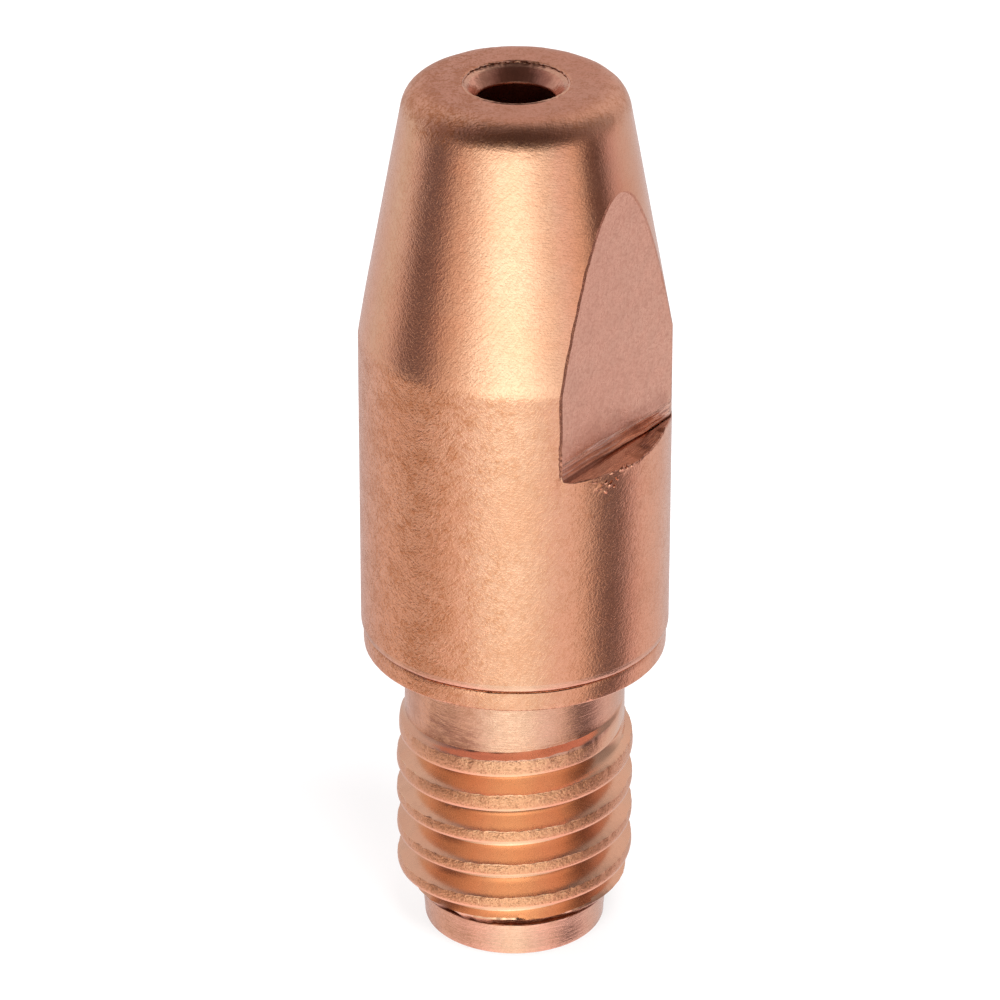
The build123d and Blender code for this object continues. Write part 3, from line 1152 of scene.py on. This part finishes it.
studio = {
    "floorSize": 6000.0,
    "floorWhite": 0.93,
    "floorGlow": 0.62,         # part of the floor's white that shadows don't reach
    "backdrop": (1.0, 1.0, 1.0),
    "overhead": (0.07, 0.05, 0.05),
    "gels": {
        "clear": (1.0, 1.0, 0.94),
        "warm": (1.0, 0.80, 0.70),
        "dim": (1.0, 0.74, 0.78),
        "blush": (1.0, 0.86, 0.87),
        "rose": (1.0, 0.80, 0.85),
        "cool": (1.0, 0.97, 1.02),
        "ember": (1.0, 0.66, 0.62),
    },
    # what surrounds the tip: degrees from the front, brightness, gel; for under, low, level and
    # high rays
    "under": ((-180, 0.85, "blush"), (-110, 0.95, "rose"), (-65, 1.15, "dim"),
              (-35, 1.28, "blush"), (0, 1.38, "clear"), (35, 1.28, "blush"), (55, 1.15, "dim"),
              (75, 1.05, "dim"), (105, 1.00, "rose"), (180, 0.85, "blush")),
    "low": ((-180, 0.70, "cool"), (-140, 0.68, "blush"), (-120, 0.71, "blush"),
            (-104, 0.78, "warm"), (-94, 0.75, "warm"), (-82, 0.61, "warm"), (-70, 0.59, "warm"),
            (-56, 0.69, "warm"), (-46, 0.75, "warm"), (-36, 0.83, "blush"), (-24, 0.88, "clear"),
            (-10, 0.98, "clear"), (4, 0.97, "clear"), (16, 0.89, "clear"), (28, 0.82, "blush"),
            (40, 0.83, "blush"), (50, 0.76, "warm"), (56, 0.64, "warm"), (62, 0.24, "dim"),
            (68, 0.15, "dim"), (80, 0.14, "dim"), (88, 0.21, "dim"), (94, 0.54, "dim"),
            (99, 0.70, "dim"), (110, 0.77, "blush"), (124, 0.72, "blush"), (150, 0.69, "cool"),
            (180, 0.70, "cool")),
    "level": ((-180, 0.64, "cool"), (-140, 0.64, "cool"), (-118, 0.66, "clear"),
              (-106, 0.66, "blush"), (-99, 0.58, "blush"), (-93, 0.26, "dim"), (-86, 0.15, "dim"),
              (-70, 0.15, "dim"), (-62, 0.36, "ember"), (-53, 0.70, "warm"), (-42, 0.92, "warm"),
              (-32, 1.14, "clear"), (-24, 1.50, "clear"), (-16, 1.85, "clear"),
              (0, 2.00, "clear"), (9, 1.80, "clear"), (18, 1.34, "clear"), (27, 1.08, "clear"),
              (40, 0.95, "blush"), (54, 0.86, "warm"), (62, 0.60, "warm"), (69, 0.15, "ember"),
              (84, 0.11, "ember"), (93, 0.40, "dim"), (101, 0.58, "dim"), (116, 0.62, "blush"),
              (140, 0.60, "cool"), (180, 0.64, "cool")),
    "high": ((-180, 0.50, "rose"), (-150, 0.63, "blush"), (-125, 0.68, "blush"),
             (-112, 0.48, "blush"), (-98, 0.36, "dim"), (-75, 0.22, "dim"), (-50, 0.08, "ember"),
             (0, 0.06, "ember"), (50, 0.08, "ember"), (75, 0.20, "dim"), (95, 0.30, "blush"),
             (112, 0.30, "blush"), (119, 0.52, "blush"), (126, 0.72, "blush"),
             (136, 0.76, "blush"), (150, 0.66, "blush"), (180, 0.50, "rose")),
}


def steepness(angle):
    # height of a ray of length 1 that climbs at this many degrees
    return sin(radians(angle))


def addSurround():
    world = bpy.data.worlds.new("studio")
    bpy.context.scene.world = world
    graph = Graph(world)
    smooth, blend = graph.smooth, graph.blend
    ray = graph.node("TexCoord", output="Generated")
    rise = graph.split(ray)[2]
    front = radians(tip["frontAngle"])
    toFront = graph.dot(ray, (cos(front), sin(front), 0))
    toRight = graph.dot(ray, (-sin(front), cos(front), 0))
    place = graph.maths("ARCTAN2", toRight, toFront) / (2 * pi) + 0.5
    bands = {}
    for name in ("under", "low", "level", "high"):
        stops = [((around + 180) / 360, [bright * part for part in studio["gels"][gel]])
                 for around, bright, gel in studio[name]]
        bands[name] = graph.node("ValToRGB", {"stops": stops}, {"Fac": place})
    surround = bands["under"]
    for name, start, end in (("low", -54, -38), ("level", -24, -14)):
        share = smooth(steepness(start), steepness(end), rise)
        surround = blend(share, surround, bands[name])
    # the bright front falls off quickly above eye level, then slowly
    fall = graph.node("MapRange", {}, {"Value": rise, "From Min": steepness(-5),
                                       "From Max": steepness(38), "To Min": 1.0, "To Max": 0.0})
    surround = blend(1 - fall * fall * fall, surround, bands["high"])
    overhead = smooth(steepness(58), steepness(78), rise)
    surround = blend(overhead * 0.85, surround, studio["overhead"])
    seen = graph.node("LightPath", output="Is Camera Ray")
    colour = blend(seen, surround, studio["backdrop"])
    sky = graph.node("Background", {}, {"Color": colour, "Strength": 1.0})
    graph.node("OutputWorld", {}, {"Surface": sky})


def addFloor():
    half = studio["floorSize"] * mm / 2
    mesh = bpy.data.meshes.new("studioFloor")
    mesh.from_pydata([(-half, -half, 0), (half, -half, 0), (half, half, 0), (-half, half, 0)],
                     [], [(0, 1, 2, 3)])
    material = bpy.data.materials.new("paleFloor")
    graph = Graph(material)
    matt = graph.node("BsdfDiffuse", {}, {"Color": (*[studio["floorWhite"]] * 3, 1)})
    glow = graph.node("Emission", {}, {"Color": (1, 1, 1, 1), "Strength": 1.0})
    seen = graph.node("LightPath", output="Is Camera Ray")
    shown = graph.node("MixShader", {}, {0: seen * studio["floorGlow"], 1: matt, 2: glow})
    graph.node("OutputMaterial", {}, {"Surface": shown})
    mesh.materials.append(material)
    floor = addObject("studioFloor", mesh)
    floor.visible_glossy = False           # the surround stands for it in the metal


lamps = {
    "softKey": {"azimuth": 35, "elevation": 58, "distance": 900, "size": 620, "watts": 9.5},
    "softFill": {"azimuth": -95, "elevation": 50, "distance": 900, "size": 700, "watts": 7.5},
}


def addLamp(name, lamp):
    data = bpy.data.lights.new(name, "AREA")
    data.shape = "DISK"
    data.size = lamp["size"] * mm
    data.energy = lamp["watts"]
    made = addObject(name, data)
    away = awayFrom(tip["frontAngle"] + lamp["azimuth"], lamp["elevation"])
    made.location = away * lamp["distance"] * mm
    made.rotation_euler = away.to_track_quat("Z", "Y").to_euler()
    made.visible_glossy = False


addSurround()
addFloor()
for name, lamp in lamps.items():
    addLamp(name, lamp)
bpy.context.scene.view_settings.view_transform = "Standard"
print("studio ready")
